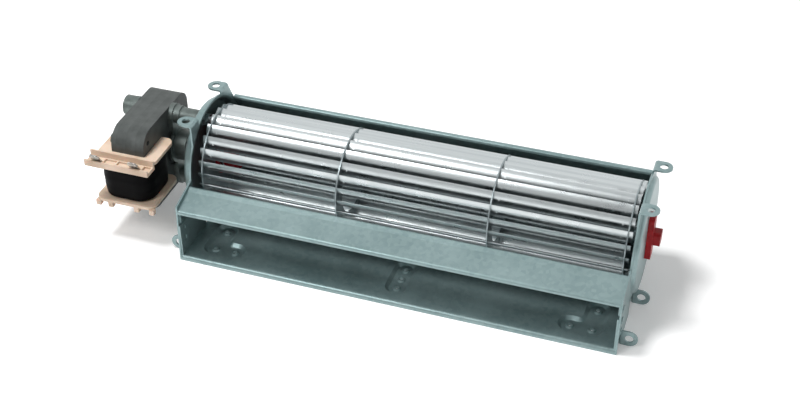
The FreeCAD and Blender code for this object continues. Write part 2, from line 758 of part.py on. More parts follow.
def make_stator_core():
    body = new_body("stator_core")
    high, front, rear = size.core_half_height, -size.core_front, size.core_rear
    nose, tail, arm = size.core_front_corner, size.core_rear_corner, size.core_arm_inside
    window = -size.core_window_rear
    nose_cut, tail_cut = nose * (1 - math.sqrt(0.5)), tail * (1 - math.sqrt(0.5))
    upper = [
        ((window, arm), (front, arm)),
        ((front, arm), (front, high - nose)),
        ((front, high - nose), (front + nose_cut, high - nose_cut), (front + nose, high)),
        ((front + nose, high), (rear - tail, high)),
        ((rear - tail, high), (rear - tail_cut, high - tail_cut), (rear, high - tail)),
    ]
    lower = [tuple((across, -up) for across, up in reversed(points)) for points in reversed(upper)]
    outline = upper + [((rear, high - tail), (rear, tail - high))] + lower + [((window, -arm), (window, arm))]
    pad(body, "stack", outline, "YZ_Plane", "-(housing_length / 2 + motor_cap_depth + sheet_wall + motor_standoff"
        " + stack_length)", "stack_length")
    start = (core_far, 0, 0)
    round_rod(body, "bore", "Subtractive", "bore_radius", "stack_length", start, along_x)
    slot = size.pole_slot / 2
    gap = polygon((window - 1, -slot), (-size.bore_radius + 1, -slot), (-size.bore_radius + 1, slot),
                  (window - 1, slot))
    stack_start = ("-(housing_length / 2 + motor_cap_depth + sheet_wall + motor_standoff + stack_length)")
    pocket(body, "pole_gap", gap, "YZ_Plane", stack_start, "stack_length")
    for sign, name in ((1, "upper"), (-1, "lower")):
        hole = (core_far, 0, sign * size.screw_offset)
        round_rod(body, name + "_screw_hole", "Subtractive", "screw_radius + slip_gap", "stack_length", hole, along_x)
        rivet = (core_far, -size.core_front + 6.5, sign * (size.core_arm_inside + 6.0))
        round_rod(body, name + "_rivet_hole", "Subtractive", "rivet_hole_radius", "stack_length", rivet, along_x)
        for leg, segments in enumerate(shading_legs(sign), start=1):
            pocket(body, f"{name}_shading_slot_{leg}", segments, "YZ_Plane", stack_start, "stack_length")


def shading_legs(sign):
    # The two square slots of one pole that hold the legs of its shading ring
    strap = size.shading_strap / 2 + size.slip_gap / 2
    reach = size.bore_radius + size.shading_strap / 2 + 1.6
    legs = []
    for end in (-0.5, 0.5):
        offset = end * size.shading_span
        corners = [(offset + across, reach + up)
                   for across, up in ((-strap, -strap), (strap, -strap), (strap, strap), (-strap, strap))]
        turned_corners = [rotated(corner, (0, 0), -math.radians(size.shading_angle)) for corner in corners]
        legs.append(polygon(*[(across, up * sign) for across, up in turned_corners]))
    return legs


def make_shading_ring(name, sign):
    # Flat copper strap closed round a part of the pole
    strap, span = size.shading_strap, size.shading_span
    reach = size.bore_radius + strap / 2 + 1.6
    frame = doc.addObject("Part::Box", name + "_frame")
    frame.Length = size.stack_length + 2 * strap
    frame.Width = span + strap
    frame.Height = strap
    lean = Rotation(Vector(*along_x), -size.shading_angle if sign > 0 else size.shading_angle - 180)
    corner = Vector(core_far - strap, -(span + strap) / 2, reach - strap / 2)
    frame.Placement = Placement(lean.multVec(corner), lean)
    eye = doc.addObject("Part::Box", name + "_eye")
    eye.Length = size.stack_length
    eye.Width = span - strap
    eye.Height = strap
    eye.Placement = Placement(lean.multVec(corner + Vector(strap, strap, 0)), lean)
    ring = doc.addObject("Part::Cut", name)
    ring.Base = frame
    ring.Tool = eye
    finish(ring)


def make_coil_core():
    # Straight laminated limb between the two arms
    body = new_body("coil_core")
    front = -size.core_front
    outline = polygon((front, -size.core_arm_inside), (front + size.limb_depth, -size.core_arm_inside),
                      (front + size.limb_depth, size.core_arm_inside), (front, size.core_arm_inside))
    pad(body, "limb", outline, "YZ_Plane", "-(housing_length / 2 + motor_cap_depth + sheet_wall + motor_standoff"
        " + stack_length)", "stack_length")


def limb_box(spare):
    # Outline of the limb seen from above, widened all round
    return (core_far - spare, core_near + spare, -size.core_front - spare,
            -size.core_front + size.limb_depth + spare)


def make_bobbin():
    body = new_body("bobbin")
    left, right = motor_x - size.bobbin_left, motor_x + size.bobbin_right
    front, rear = -size.bobbin_front, -size.bobbin_rear
    arm, flange = size.core_arm_inside, size.bobbin_flange
    corner = size.bobbin_corner
    tube = limb_box(size.slip_gap + size.bobbin_wall)
    pad(body, "tube", rounded_box(*tube, 1.0), "XY_Plane", "-core_arm_inside", "2 * core_arm_inside")
    pad(body, "lower_flange", rounded_box(left, right, front, rear, corner), "XY_Plane", "-core_arm_inside",
        "bobbin_flange")
    pad(body, "upper_flange", rounded_box(left, right, front + size.ledge_depth, rear, corner), "XY_Plane",
        "core_arm_inside - bobbin_flange", "bobbin_flange")
    ledge_left = motor_x - size.ledge_left
    ledge = polygon((ledge_left, front - 1), (right, front - 1), (right, front + size.ledge_depth),
                    (ledge_left, front + size.ledge_depth))
    pad(body, "ledge", ledge, "XY_Plane", "core_arm_inside - bobbin_flange - ledge_drop", "bobbin_flange")
    wall = size.rib_wall
    for name, low, high in (("front", front - 1, front - 1 + wall),
                            ("back", front + size.ledge_depth, front + size.ledge_depth + wall)):
        rib = polygon((ledge_left, low), (right, low), (right, high), (ledge_left, high))
        pad(body, name + "_rib", rib, "XY_Plane", "core_arm_inside - bobbin_flange - ledge_drop",
            "bobbin_flange + ledge_drop + " + ("0" if name == "front" else "rib_height"))
    limb = limb_box(size.slip_gap)
    pocket(body, "limb_hole", polygon((limb[0], limb[2]), (limb[1], limb[2]), (limb[1], limb[3]),
                                      (limb[0], limb[3])), "XY_Plane", "-core_arm_inside", "2 * core_arm_inside")
    for number, along in enumerate((left, motor_x - 11, motor_x + 6, right - size.foot_width), start=1):
        foot = polygon((along, front), (along + size.foot_width, front),
                       (along + size.foot_width, front + size.foot_width), (along, front + size.foot_width))
        pad(body, f"foot_{number}", foot, "XY_Plane", "-core_arm_inside - foot_height", "foot_height")
    low, high = front - 1 + wall + size.tray_margin, front + size.ledge_depth - size.tray_margin
    for number, (start, end) in enumerate(((-11.5, -4.2), (-3.0, 6.8), (13.6, 17.8)), start=1):
        tray = polygon((motor_x + start, low), (motor_x + end, low), (motor_x + end, high), (motor_x + start, high))
        pocket(body, f"tray_{number}", tray, "XY_Plane", "core_arm_inside - ledge_drop - tray_depth",
               "tray_depth")
    for number, (along, across) in enumerate(spade_places(), start=1):
        half, deep = size.spade_root / 2 + size.slip_gap, size.spade_wall / 2 + size.slip_gap
        slot = polygon((along - half, across - deep), (along + half, across - deep), (along + half, across + deep),
                       (along - half, across + deep))
        pocket(body, f"spade_slot_{number}", slot, "XY_Plane", "core_arm_inside - bobbin_flange - ledge_drop",
               "bobbin_flange")


def spade_places():
    # Middle of each terminal seen from above
    across = -size.bobbin_front + size.ledge_depth / 2 - 1.5
    return [(motor_x - size.spade_left_x, across), (motor_x + size.spade_right_x, across)]


def make_winding():
    # Taped coil round the bobbin tube, between the flanges
    body = new_body("winding")
    outer = rounded_box(motor_x - size.winding_left, motor_x + size.winding_right, -size.winding_front,
                        -size.winding_rear, size.winding_corner)
    pad(body, "turns", outer, "XY_Plane", "-core_arm_inside + bobbin_flange + ledge_drop / 4",
        "2 * (core_arm_inside - bobbin_flange - ledge_drop / 2) - ledge_drop")
    tube = limb_box(size.slip_gap * 2 + size.bobbin_wall)
    pocket(body, "eye", rounded_box(*tube, 1.0), "XY_Plane", "-core_arm_inside", "2 * core_arm_inside")


def make_spade_terminal(name, along, across):
    # Tinned tab on a narrow root: it stands on the ledge, leans forwards and has a cut tip and a hole
    body = new_body(name)
    ledge = size.core_arm_inside - size.ledge_drop
    half, root, taper, height = size.spade_width / 2, size.spade_root / 2, size.spade_taper, size.spade_height
    foot = ledge + size.spade_wall / 2
    stem = polygon((along - root, ledge - size.bobbin_flange), (along + root, ledge - size.bobbin_flange),
                   (along + root, foot), (along - root, foot))
    set_back(pad(body, "stem", stem, "XZ_Plane", "0", "spade_wall", midplane=True), -across)
    outline = polygon((along - half, 0), (along + half, 0), (along + half, height - 2 * taper),
                      (along + half - taper, height), (along - half + taper, height),
                      (along - half, height - 2 * taper))
    tab = pad(body, "tab", outline, "XZ_Plane", "0", "spade_wall", midplane=True)
    set_back(tab, -across)
    tab.Profile[0].AttachmentOffset = Placement(Vector(0, foot, -across), Rotation(Vector(1, 0, 0), size.spade_lean))
    lean = math.radians(size.spade_lean)
    upward, outward = Vector(0, -math.sin(lean), math.cos(lean)), Vector(0, -math.cos(lean), -math.sin(lean))
    eye = Vector(along, across, foot) + upward * height * 0.55 - outward * (size.spade_wall / 2 + 0.5)
    round_rod(body, "hole", "Subtractive", "spade_hole", "spade_wall + 1", tuple(eye), tuple(outward))


def set_back(solid, offset):
    # Moves the outline of a pad along its plane's normal by a number
    solid.Profile[0].setExpression("AttachmentOffset.Base.z", None)
    solid.Profile[0].AttachmentOffset = Placement(Vector(0, 0, offset), Rotation())


def make_rotor():
    # Squirrel-cage rotor with cast end rings
    body = new_body("rotor")
    radius, bore = size.bore_radius - size.air_gap, size.shaft_radius + size.running_gap / 2
    far, near = core_far + 0.3, core_near - 0.3
    ring = 2.4
    turned(body, "cage", polygon(
        (far, bore), (far, bore + 3), (far + ring, bore + 3), (far + ring, radius - 3.5), (far, radius - 3.5),
        (far, radius - 0.5), (far + 0.5, radius), (near - 0.5, radius), (near, radius - 0.5), (near, radius - 3.5),
        (near - ring, radius - 3.5), (near - ring, bore + 3), (near, bore + 3), (near, bore)))


def make_motor_shaft():
    body = new_body("motor_shaft")
    back = core_far - size.bracket_wall - size.cup_length - 0.8
    end = motor_disc_x + size.hub_boss_reach + 0.9
    radius = size.shaft_radius
    turned(body, "rod", polygon((back, 0), (back, radius - 0.4), (back + 0.4, radius), (end - 0.4, radius),
                                (end, radius - 0.4), (end, 0)))


def ball_place(side):
    # Middle of a bearing ball along the axis; side is 1 towards the impeller
    face = core_near if side > 0 else core_far
    return face + side * (size.bracket_wall + size.cup_length - size.retainer_wall - size.ball_width / 2 - 0.6)


def make_ball_bearing(name, side):
    # Self-aligning sintered bearing
    body = new_body(name)
    middle, half, bore = ball_place(side), size.ball_width / 2, size.shaft_radius + size.running_gap
    edge = math.sqrt(size.ball_radius ** 2 - half ** 2)
    turned(body, "ball", [
        ((middle - half, bore), (middle - half, edge)),
        ((middle - half, edge), (middle, size.ball_radius), (middle + half, edge)),
        ((middle + half, edge), (middle + half, bore)),
        ((middle + half, bore), (middle - half, bore))])


def make_retainer(name, side):
    # Spring washer that keeps the bearing in its cup
    body = new_body(name)
    face = core_near if side > 0 else core_far
    outer = face + side * (size.bracket_wall + size.cup_length)
    inner = outer - side * size.retainer_wall
    low, high = size.shaft_radius + 0.8, size.cup_radius - 1.2
    turned(body, "washer", polygon((inner, low), (inner, high), (outer, high), (outer, low)))


def add_bracket(name, side):
    # Die-cast bridge over one end of the rotor, with the bearing cup and two screw bosses
    body = new_body(name)
    face = core_near if side > 0 else core_far
    reach = "housing_length / 2 + motor_cap_depth + sheet_wall + motor_standoff"
    start = f"-({reach})" if side > 0 else f"-({reach} + stack_length + bracket_wall)"
    half, offset, end = size.bracket_width / 2, size.screw_offset, size.bracket_end_radius
    bridge = polygon((-half, -offset), (half, -offset), (half, offset), (-half, offset))
    pad(body, "bridge", bridge, "YZ_Plane", start, "bracket_wall")
    out = (side, 0, 0)
    round_rod(body, "hub", "Additive", "cup_radius + 2", "bracket_wall", (face, 0, 0), out)
    round_rod(body, "cup", "Additive", "cup_radius", "bracket_wall + cup_length", (face, 0, 0), out)
    for sign, which in ((1, "upper"), (-1, "lower")):
        place = (face, 0, sign * offset)
        round_rod(body, which + "_end", "Additive", "bracket_end_radius", "bracket_wall", place, out)
        if side > 0:
            round_rod(body, which + "_foot", "Additive", "column_foot_radius", "column_foot", place, out)
            round_rod(body, which + "_column", "Additive", "column_radius", "motor_standoff - washer_wall", place, out)
        else:
            round_rod(body, which + "_boss", "Additive", "rear_boss_radius", "rear_boss_length", place, out)
            recess = (face - size.rear_boss_length, 0, sign * offset)
            round_rod(body, which + "_recess", "Subtractive", "screw_head_radius + slip_gap",
                      "screw_head_height - 0.6", recess, along_x)
        round_rod(body, which + "_hole", "Subtractive", "screw_radius + slip_gap", "motor_standoff", place, out)
    if side < 0:
        # A third leg runs forwards over the core arm
        under, wide = size.core_arm_inside + size.arm_clearance, size.arm_width
        arm = polygon((-2.0, offset - wide / 2), (-size.arm_front, under), (-size.arm_front - wide / 4, size.arm_rise),
                      (-size.arm_front, under + wide), (-2.0, offset + wide / 2))
        pad(body, "arm", arm, "YZ_Plane", start, "bracket_wall")
    round_rod(body, "rotor_room", "Subtractive", "bore_radius", "bracket_wall / 3", (face, 0, 0), out)
    seat = ball_place(side)
    half_ball = size.ball_width / 2 + 0.6
    ball_start = (seat - side * half_ball, 0, 0)
    round_rod(body, "shaft_hole", "Subtractive", "shaft_radius + 0.8", "bracket_wall + cup_length", (face, 0, 0), out)
    room = round_rod(body, "ball_room", "Subtractive", "ball_radius + slip_gap", "ball_width + 2", ball_start, out)
    room.setExpression("Height", None)
    room.Height = 2 * half_ball
    lip = (face + side * (size.bracket_wall + size.cup_length - size.retainer_wall), 0, 0)
    round_rod(body, "retainer_room", "Subtractive", "cup_radius - 1.2 + slip_gap", "retainer_wall", lip, out)
    return body


# Fasteners: each kind is one group of separate solids

def rod(name, radius, length, start, height):
    # Cylinder along the axis direction at a height over the axis
    item = doc.addObject("Part::Cylinder", name)
    bind(item, "Radius", radius)
    item.Height = length
    item.Placement = Placement(Vector(start, 0, height), Rotation(Vector(*along_z), Vector(*along_x)))
    return item


def make_screws():
    head_face = core_far - size.rear_boss_length + size.screw_head_height - 0.6
    tip = motor_cap_face + size.sheet_wall + size.nut_height + 0.8
    screws = []
    for sign, which in ((1, "upper"), (-1, "lower")):
        height = sign * size.screw_offset
        shank = rod(which + "_shank", "screw_radius", tip - head_face, head_face, height)
        head = rod(which + "_head", "screw_head_radius", size.screw_head_height, head_face - size.screw_head_height,
                   height)
        screw = doc.addObject("Part::Fuse", which + "_screw")
        screw.Base = shank
        screw.Tool = head
        screws.append(screw)
    group_of("motor_screws", screws)


def make_washers():
    # Lock washers between the columns and the cap
    washers = []
    start = motor_cap_face - size.washer_wall
    for sign, which in ((1, "upper"), (-1, "lower")):
        height = sign * size.screw_offset
        ring = rod(which + "_washer_ring", "washer_radius", size.washer_wall, start, height)
        hole = rod(which + "_washer_hole", "screw_radius + slip_gap", size.washer_wall, start, height)
        washer = doc.addObject("Part::Cut", which + "_washer")
        washer.Base = ring
        washer.Tool = hole
        washers.append(washer)
    group_of("lock_washers", washers)


def make_nuts():
    # Hexagon nuts inside the cap
    nuts = []
    start = motor_cap_face + size.sheet_wall
    for sign, which in ((1, "upper"), (-1, "lower")):
        height = sign * size.screw_offset
        hexagon = doc.addObject("Part::Prism", which + "_nut_body")
        hexagon.Polygon = 6
        bind(hexagon, "Circumradius", "nut_radius")
        hexagon.Height = size.nut_height
        hexagon.Placement = Placement(Vector(start, 0, height), Rotation(Vector(*along_z), Vector(*along_x)))
        hole = rod(which + "_nut_hole", "screw_radius + running_gap / 2", size.nut_height, start, height)
        nut = doc.addObject("Part::Cut", which + "_nut")
        nut.Base = hexagon
        nut.Tool = hole
        nuts.append(nut)
    group_of("motor_nuts", nuts)


def group_of(name, items):
    group = doc.addObject("Part::Compound", name)
    group.Links = items
    finish(group)


# The whole fan

make_scroll_housing()
make_tongue_plate()
motor_plate = make_end_plate("motor_end_plate", -1, size.motor_cap_depth, size.motor_opening)
for sign, which in ((1, "upper"), (-1, "lower")):
    cap_start = (motor_cap_face, 0, sign * size.screw_offset)
    round_rod(motor_plate, which + "_screw_hole", "Subtractive", "screw_radius + slip_gap", "sheet_wall", cap_start,
              along_x)
make_end_plate("bearing_end_plate", 1, size.bearing_cap_depth, size.support_neck)
make_bearing_support()
make_bearing_bush()
make_blades()
impeller_start = "-housing_length / 2 + impeller_end_room"
impeller_length = "(housing_length - 2 * impeller_end_room)"
make_disc("motor_side_disc", impeller_start, "hub_disc_hole")
make_disc("middle_disc_1", f"{impeller_start} + motor_segment_share * {impeller_length}", "ring_inner_radius")
make_disc("middle_disc_2", f"{impeller_start} + (motor_segment_share + middle_segment_share) * {impeller_length}",
          "ring_inner_radius")
make_disc("bearing_side_disc", f"{impeller_start} + {impeller_length}", "stub_radius + 1 + running_gap / 2")
make_rubber_hub()
make_hub_fittings()
make_stub_shaft()
make_stator_core()
make_coil_core()
make_bobbin()
make_winding()
for name, (along, across) in zip(("spade_terminal_left", "spade_terminal_right"), spade_places()):
    make_spade_terminal(name, along, across)
make_shading_ring("shading_ring_upper", 1)
make_shading_ring("shading_ring_lower", -1)
make_rotor()
make_motor_shaft()
add_bracket("front_bracket", 1)
add_bracket("rear_bracket", -1)
make_ball_bearing("front_bearing", 1)
make_ball_bearing("rear_bearing", -1)
make_retainer("front_retainer", 1)
make_retainer("rear_retainer", -1)
make_screws()
make_washers()
make_nuts()

doc.recompute()

# Checks before anything is written
broken = [item.Name for item in doc.Objects if "Invalid" in item.State or "Error" in item.State]
if broken:
    raise RuntimeError("could not be built: " + ", ".join(broken))
for piece in pieces:
    if piece.Shape.isNull() or not piece.Shape.isValid():
        raise RuntimeError(f"{piece.Label} has no valid shape")

os.makedirs("parts", exist_ok=True)
for piece in pieces:
    piece.Shape.exportStep(f"parts/{piece.Label}.step")
print(len(pieces), "pieces written")
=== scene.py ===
# Cross flow fan: looks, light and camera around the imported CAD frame
import math

import bmesh
import bpy
from mathutils import Matrix, Vector


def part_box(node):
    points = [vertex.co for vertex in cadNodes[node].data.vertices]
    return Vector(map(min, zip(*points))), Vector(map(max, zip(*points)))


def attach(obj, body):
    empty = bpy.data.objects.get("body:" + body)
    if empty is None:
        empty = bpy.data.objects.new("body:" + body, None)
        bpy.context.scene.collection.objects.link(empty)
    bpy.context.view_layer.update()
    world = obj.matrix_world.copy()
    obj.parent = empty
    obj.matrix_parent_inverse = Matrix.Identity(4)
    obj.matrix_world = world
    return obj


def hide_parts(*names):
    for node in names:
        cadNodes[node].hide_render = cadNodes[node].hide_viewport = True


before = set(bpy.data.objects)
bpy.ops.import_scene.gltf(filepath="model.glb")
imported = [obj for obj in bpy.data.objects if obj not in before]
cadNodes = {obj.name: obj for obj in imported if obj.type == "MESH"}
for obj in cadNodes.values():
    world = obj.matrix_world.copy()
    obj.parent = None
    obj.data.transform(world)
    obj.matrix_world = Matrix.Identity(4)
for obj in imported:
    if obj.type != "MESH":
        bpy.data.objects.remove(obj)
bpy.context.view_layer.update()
print("frame loaded:", len(cadNodes), "nodes")


def linearColour(code):
    # sRGB hex to the linear colour that Blender's sockets take, by the sRGB curve
    parts = [int(code[place:place + 2], 16) / 255 for place in (1, 3, 5)]
    linear = [part / 12.92 if part <= 0.04045 else ((part + 0.055) / 1.055) ** 2.4 for part in parts]
    return (*linear, 1.0)


def metres(millimetres):
    # Blender's unit from the drawing's
    return millimetres / 1000


def perMetre(millimetres):
    # scale of a pattern that repeats once in this many millimetres
    return 1000 / millimetres


def bandScale(millimetres):
    # the same for a wave pattern, which has 20 / tau bands in one unit
    return perMetre(millimetres) * math.tau / 20


def feed(tree, node, links):
    # links sockets to the inputs of a node
    for name, socket in links.items():
        tree.links.new(socket, node.inputs[name])


def addNode(tree, kind, settings=None, links=None):
    # one node with its settings and incoming links; each colour stop is a place and a colour
    node = tree.nodes.new(kind)
    for name, value in (settings or {}).items():
        if name == "stops":
            for stop, (position, colour) in zip(node.color_ramp.elements, value):
                stop.position = position
                stop.color = linearColour(colour)
        elif isinstance(name, str) and hasattr(node, name):
            setattr(node, name, value)
        else:
            node.inputs[name].default_value = value
    feed(tree, node, links or {})
    return node


def newMaterial(name, surface):
    # a material with its constant values set straight on the shader
    material = bpy.data.materials.new(name)
    material.use_nodes = True
    tree = material.node_tree
    shader = tree.nodes["Principled BSDF"]
    for socket, value in surface.items():
        shader.inputs[socket].default_value = linearColour(value) if isinstance(value, str) else value
    where = tree.nodes.new("ShaderNodeTexCoord").outputs["Object"]
    return material, tree, shader, where


def finishMaterial(tree, shader, look, tint, gloss=None, height=None):
    # ends a material: its tone, and the sheen, the rounded edge and the relief where the look has them
    tone = addNode(tree, "ShaderNodeValToRGB", look["tone"], {"Fac": tint})
    links = {"Base Color": tone.outputs["Color"]}
    if "sheen" in look:
        pattern = tint if gloss is None else gloss
        sheen = addNode(tree, "ShaderNodeMapRange", look["sheen"], {"Value": pattern})
        links["Roughness"] = sheen.outputs["Result"]
    if "edge" in look:
        rounded = addNode(tree, "ShaderNodeBevel", look["edge"])
        links["Normal"] = rounded.outputs["Normal"]
    if "relief" in look:
        relief = addNode(tree, "ShaderNodeBump", look["relief"], {"Height": height})
        if "edge" in look:
            feed(tree, relief, {"Normal": links["Normal"]})
        links["Normal"] = relief.outputs["Normal"]
    feed(tree, shader, links)


def dress(finish, slotName, *names):
    # gives CAD nodes their finish
    for name in names:
        piece = cadNodes[name]
        piece.data.materials.clear()
        piece.data.materials.append(finish)
        for face in piece.data.polygons:
            face.material_index = 0


def addPiece(name, shape, finish):
    # puts a finished bmesh into the scene with one material
    mesh = bpy.data.meshes.new(name)
    shape.to_mesh(mesh)
    shape.free()
    mesh.materials.append(finish)
    piece = bpy.data.objects.new(name, mesh)
    bpy.context.scene.collection.objects.link(piece)
    return piece


def uprightEdges(block, height):
    # edges that run from the bottom of a block to its top
    return [edge for edge in block.edges if abs(edge.verts[0].co.z - edge.verts[1].co.z) > height / 2]


def directRays(tree, path):
    # 1 for what the camera, metal and glass see, 0 for the light on matt faces
    seen = addNode(tree, "ShaderNodeMath", {"operation": "ADD"}, {
        0: path.outputs["Is Camera Ray"], 1: path.outputs["Is Glossy Ray"],
    })
    seenAll = addNode(tree, "ShaderNodeMath", {"operation": "ADD", "use_clamp": True}, {
        0: seen.outputs[0], 1: path.outputs["Is Transmission Ray"],
    })
    return seenAll.outputs[0]


# Galvanised sheet: hot-dipped zinc on cold rolled steel, skin passed and passivated.
# The eye gets a satin blue-grey with a faint mottle of small spangles and a soft edge glint.
zincSheet = {
    "surface": {"Metallic": 0.68},
    "spangle": {"Scale": perMetre(2.2), "Randomness": 1.0},
    "cloud": {"Scale": perMetre(38), "Detail": 3.0},
    "mottle": {"operation": "MULTIPLY_ADD", 1: 0.22},  # share of the spangles in the tone
    "grain": {"Scale": perMetre(0.5), "Detail": 2.0},
    "tone": {"stops": [(0.38, "#7d9394"), (0.82, "#94a9aa")]},
    "sheen": {"From Min": 0.35, "From Max": 0.9, "To Min": 0.30, "To Max": 0.44},
    "edge": {"samples": 4, "Radius": metres(0.15)},
    "relief": {"Strength": 0.10, "Distance": metres(0.04)},
}
galvanised, tree, shader, where = newMaterial("galvanisedSheet", zincSheet["surface"])
cells = addNode(tree, "ShaderNodeTexVoronoi", zincSheet["spangle"], {"Vector": where})
cellTone = addNode(tree, "ShaderNodeSeparateColor", None, {"Color": cells.outputs["Color"]})
cloud = addNode(tree, "ShaderNodeTexNoise", zincSheet["cloud"], {"Vector": where})
mottle = addNode(tree, "ShaderNodeMath", zincSheet["mottle"], {
    0: cellTone.outputs["Red"], 2: cloud.outputs["Fac"],
})
grain = addNode(tree, "ShaderNodeTexNoise", zincSheet["grain"], {"Vector": where})
finishMaterial(tree, shader, zincSheet, mottle.outputs[0], height=grain.outputs["Fac"])

# Blade strip: bright rolled aluminium, roll formed to its curve.
# The eye gets long mirror-like bands broken by fine rolling lines along the impeller.
bladeStrip = {
    "surface": {"Metallic": 1.0},
    "stretch": {"Scale": (perMetre(160), perMetre(1.2), perMetre(1.2))},
    "rolling": {"Scale": 1.0, "Detail": 4.0, "Roughness": 0.6},
    "smear": {"Scale": perMetre(9), "Detail": 2.0},
    "tone": {"stops": [(0.3, "#bec5c7"), (0.7, "#d2d8d9")]},
    "sheen": {"From Min": 0.3, "From Max": 0.7, "To Min": 0.26, "To Max": 0.38},
    "relief": {"Strength": 0.03, "Distance": metres(0.06)},
}
brightAluminium, tree, shader, where = newMaterial("rolledAluminiumStrip", bladeStrip["surface"])
stretched = addNode(tree, "ShaderNodeMapping", bladeStrip["stretch"], {"Vector": where})
rolling = addNode(tree, "ShaderNodeTexNoise", bladeStrip["rolling"], {
    "Vector": stretched.outputs["Vector"],
})
lines = rolling.outputs["Fac"]
smear = addNode(tree, "ShaderNodeTexNoise", bladeStrip["smear"], {"Vector": where})
finishMaterial(tree, shader, bladeStrip, lines, smear.outputs["Fac"], lines)

# Impeller discs: zinc plated steel blanks, pressed and slotted.
# The eye gets a cool, slightly cloudy grey with a soft glint along the cut rim.
discBlank = {
    "surface": {"Metallic": 0.95},
    "cloud": {"Scale": perMetre(12), "Detail": 5.0},
    "tone": {"stops": [(0.35, "#8a9598"), (0.68, "#a9b3b5")]},
    "sheen": {"From Min": 0.3, "From Max": 0.7, "To Min": 0.3, "To Max": 0.45},
    "edge": {"samples": 4, "Radius": metres(0.2)},
}
discSteel, tree, shader, where = newMaterial("platedDiscSteel", discBlank["surface"])
cloud = addNode(tree, "ShaderNodeTexNoise", discBlank["cloud"], {"Vector": where})
finishMaterial(tree, shader, discBlank, cloud.outputs["Fac"])

# Silicone rubber: compression moulded, pigmented red.
# The eye gets a saturated soft red with a waxy highlight and a little depth under the skin.
redRubber = {
    "surface": {
        "Roughness": 0.42, "IOR": 1.43, "Specular IOR Level": 0.35,
        "Subsurface Weight": 0.15, "Subsurface Scale": 0.0015, "Subsurface Radius": (1.0, 0.25, 0.2),
    },
    "cloud": {"Scale": perMetre(4), "Detail": 3.0},
    "pimples": {"Scale": perMetre(0.35), "Detail": 1.0},
    "tone": {"stops": [(0.3, "#8f1218"), (0.75, "#b81e25")]},
    "edge": {"samples": 4, "Radius": metres(0.5)},
    "relief": {"Strength": 0.12, "Distance": metres(0.03)},
}
redSilicone, tree, shader, where = newMaterial("redSiliconeRubber", redRubber["surface"])
cloud = addNode(tree, "ShaderNodeTexNoise", redRubber["cloud"], {"Vector": where})
pimples = addNode(tree, "ShaderNodeTexNoise", redRubber["pimples"], {"Vector": where})
finishMaterial(tree, shader, redRubber, cloud.outputs["Fac"], height=pimples.outputs["Fac"])

# Bright zinc plate on turned and cold headed steel.
# The eye gets a clean silver with a fine turned line round each shaft and head.
# The lines are drawn 0.8 mm apart, coarser than real ones, so that they show.
plating = {
    "surface": {"Metallic": 1.0},
    "cloud": {"Scale": perMetre(3), "Detail": 3.0},
    "turning": {
        "wave_type": "BANDS", "bands_direction": "X", "Scale": bandScale(0.789545), "Distortion": 0.4,
    },
    "tone": {"stops": [(0.3, "#9da6a9"), (0.7, "#c4cbcd")]},
    "sheen": {"To Min": 0.2, "To Max": 0.36},
    "edge": {"samples": 4, "Radius": metres(0.25)},
    "relief": {"Strength": 0.1, "Distance": metres(0.03)},
}
brightSteel, tree, shader, where = newMaterial("brightZincPlate", plating["surface"])
cloud = addNode(tree, "ShaderNodeTexNoise", plating["cloud"], {"Vector": where})
turning = addNode(tree, "ShaderNodeTexWave", plating["turning"], {"Vector": where})
finishMaterial(tree, shader, plating, cloud.outputs["Fac"], height=turning.outputs["Fac"])

# Sintered bronze: pressed powder, oil filled.
# The eye gets a dull brown-gold with dark pores.
sinter = {
    "surface": {"Metallic": 0.9, "Roughness": 0.5},
    "pores": {"Scale": perMetre(0.5), "Detail": 4.0},
    "tone": {"stops": [(0.36, "#5d432a"), (0.55, "#a67c4a")]},
    "relief": {"Strength": 0.25, "Distance": metres(0.05)},
}
sinteredBronze, tree, shader, where = newMaterial("sinteredBronze", sinter["surface"])
pores = addNode(tree, "ShaderNodeTexNoise", sinter["pores"], {"Vector": where})
finishMaterial(tree, shader, sinter, pores.outputs["Fac"], height=pores.outputs["Fac"])

# Electrical steel laminations: blued in the anneal and stacked along the shaft.
# The eye gets a dull warm grey with faint bands; one band stands for a dozen of the 0.5 mm sheets.
stack = {
    "surface": {"Specular IOR Level": 0.3},
    "sheets": {
        "wave_type": "BANDS", "bands_direction": "X", "wave_profile": "SAW", "Scale": bandScale(6.283185),
        "Distortion": 0.3, "Detail": 1.0, "Detail Scale": 2.0,
    },
    "cloud": {"Scale": perMetre(6), "Detail": 5.0},
    "blend": {"operation": "MULTIPLY_ADD", 1: 0.12},  # share of the bands in the tone
    "tone": {"stops": [(0.35, "#414544"), (0.95, "#595d5c")]},
    "sheen": {"To Min": 0.42, "To Max": 0.6},
    "edge": {"samples": 4, "Radius": metres(0.3)},
    "relief": {"Strength": 0.3, "Distance": metres(0.1)},
}
lamination, tree, shader, where = newMaterial("laminatedCoreSteel", stack["surface"])
sheets = addNode(tree, "ShaderNodeTexWave", stack["sheets"], {"Vector": where})
cloud = addNode(tree, "ShaderNodeTexNoise", stack["cloud"], {"Vector": where})
blend = addNode(tree, "ShaderNodeMath", stack["blend"], {0: sheets.outputs["Fac"], 2: cloud.outputs["Fac"]})
finishMaterial(tree, shader, stack, blend.outputs[0], cloud.outputs["Fac"], sheets.outputs["Fac"])

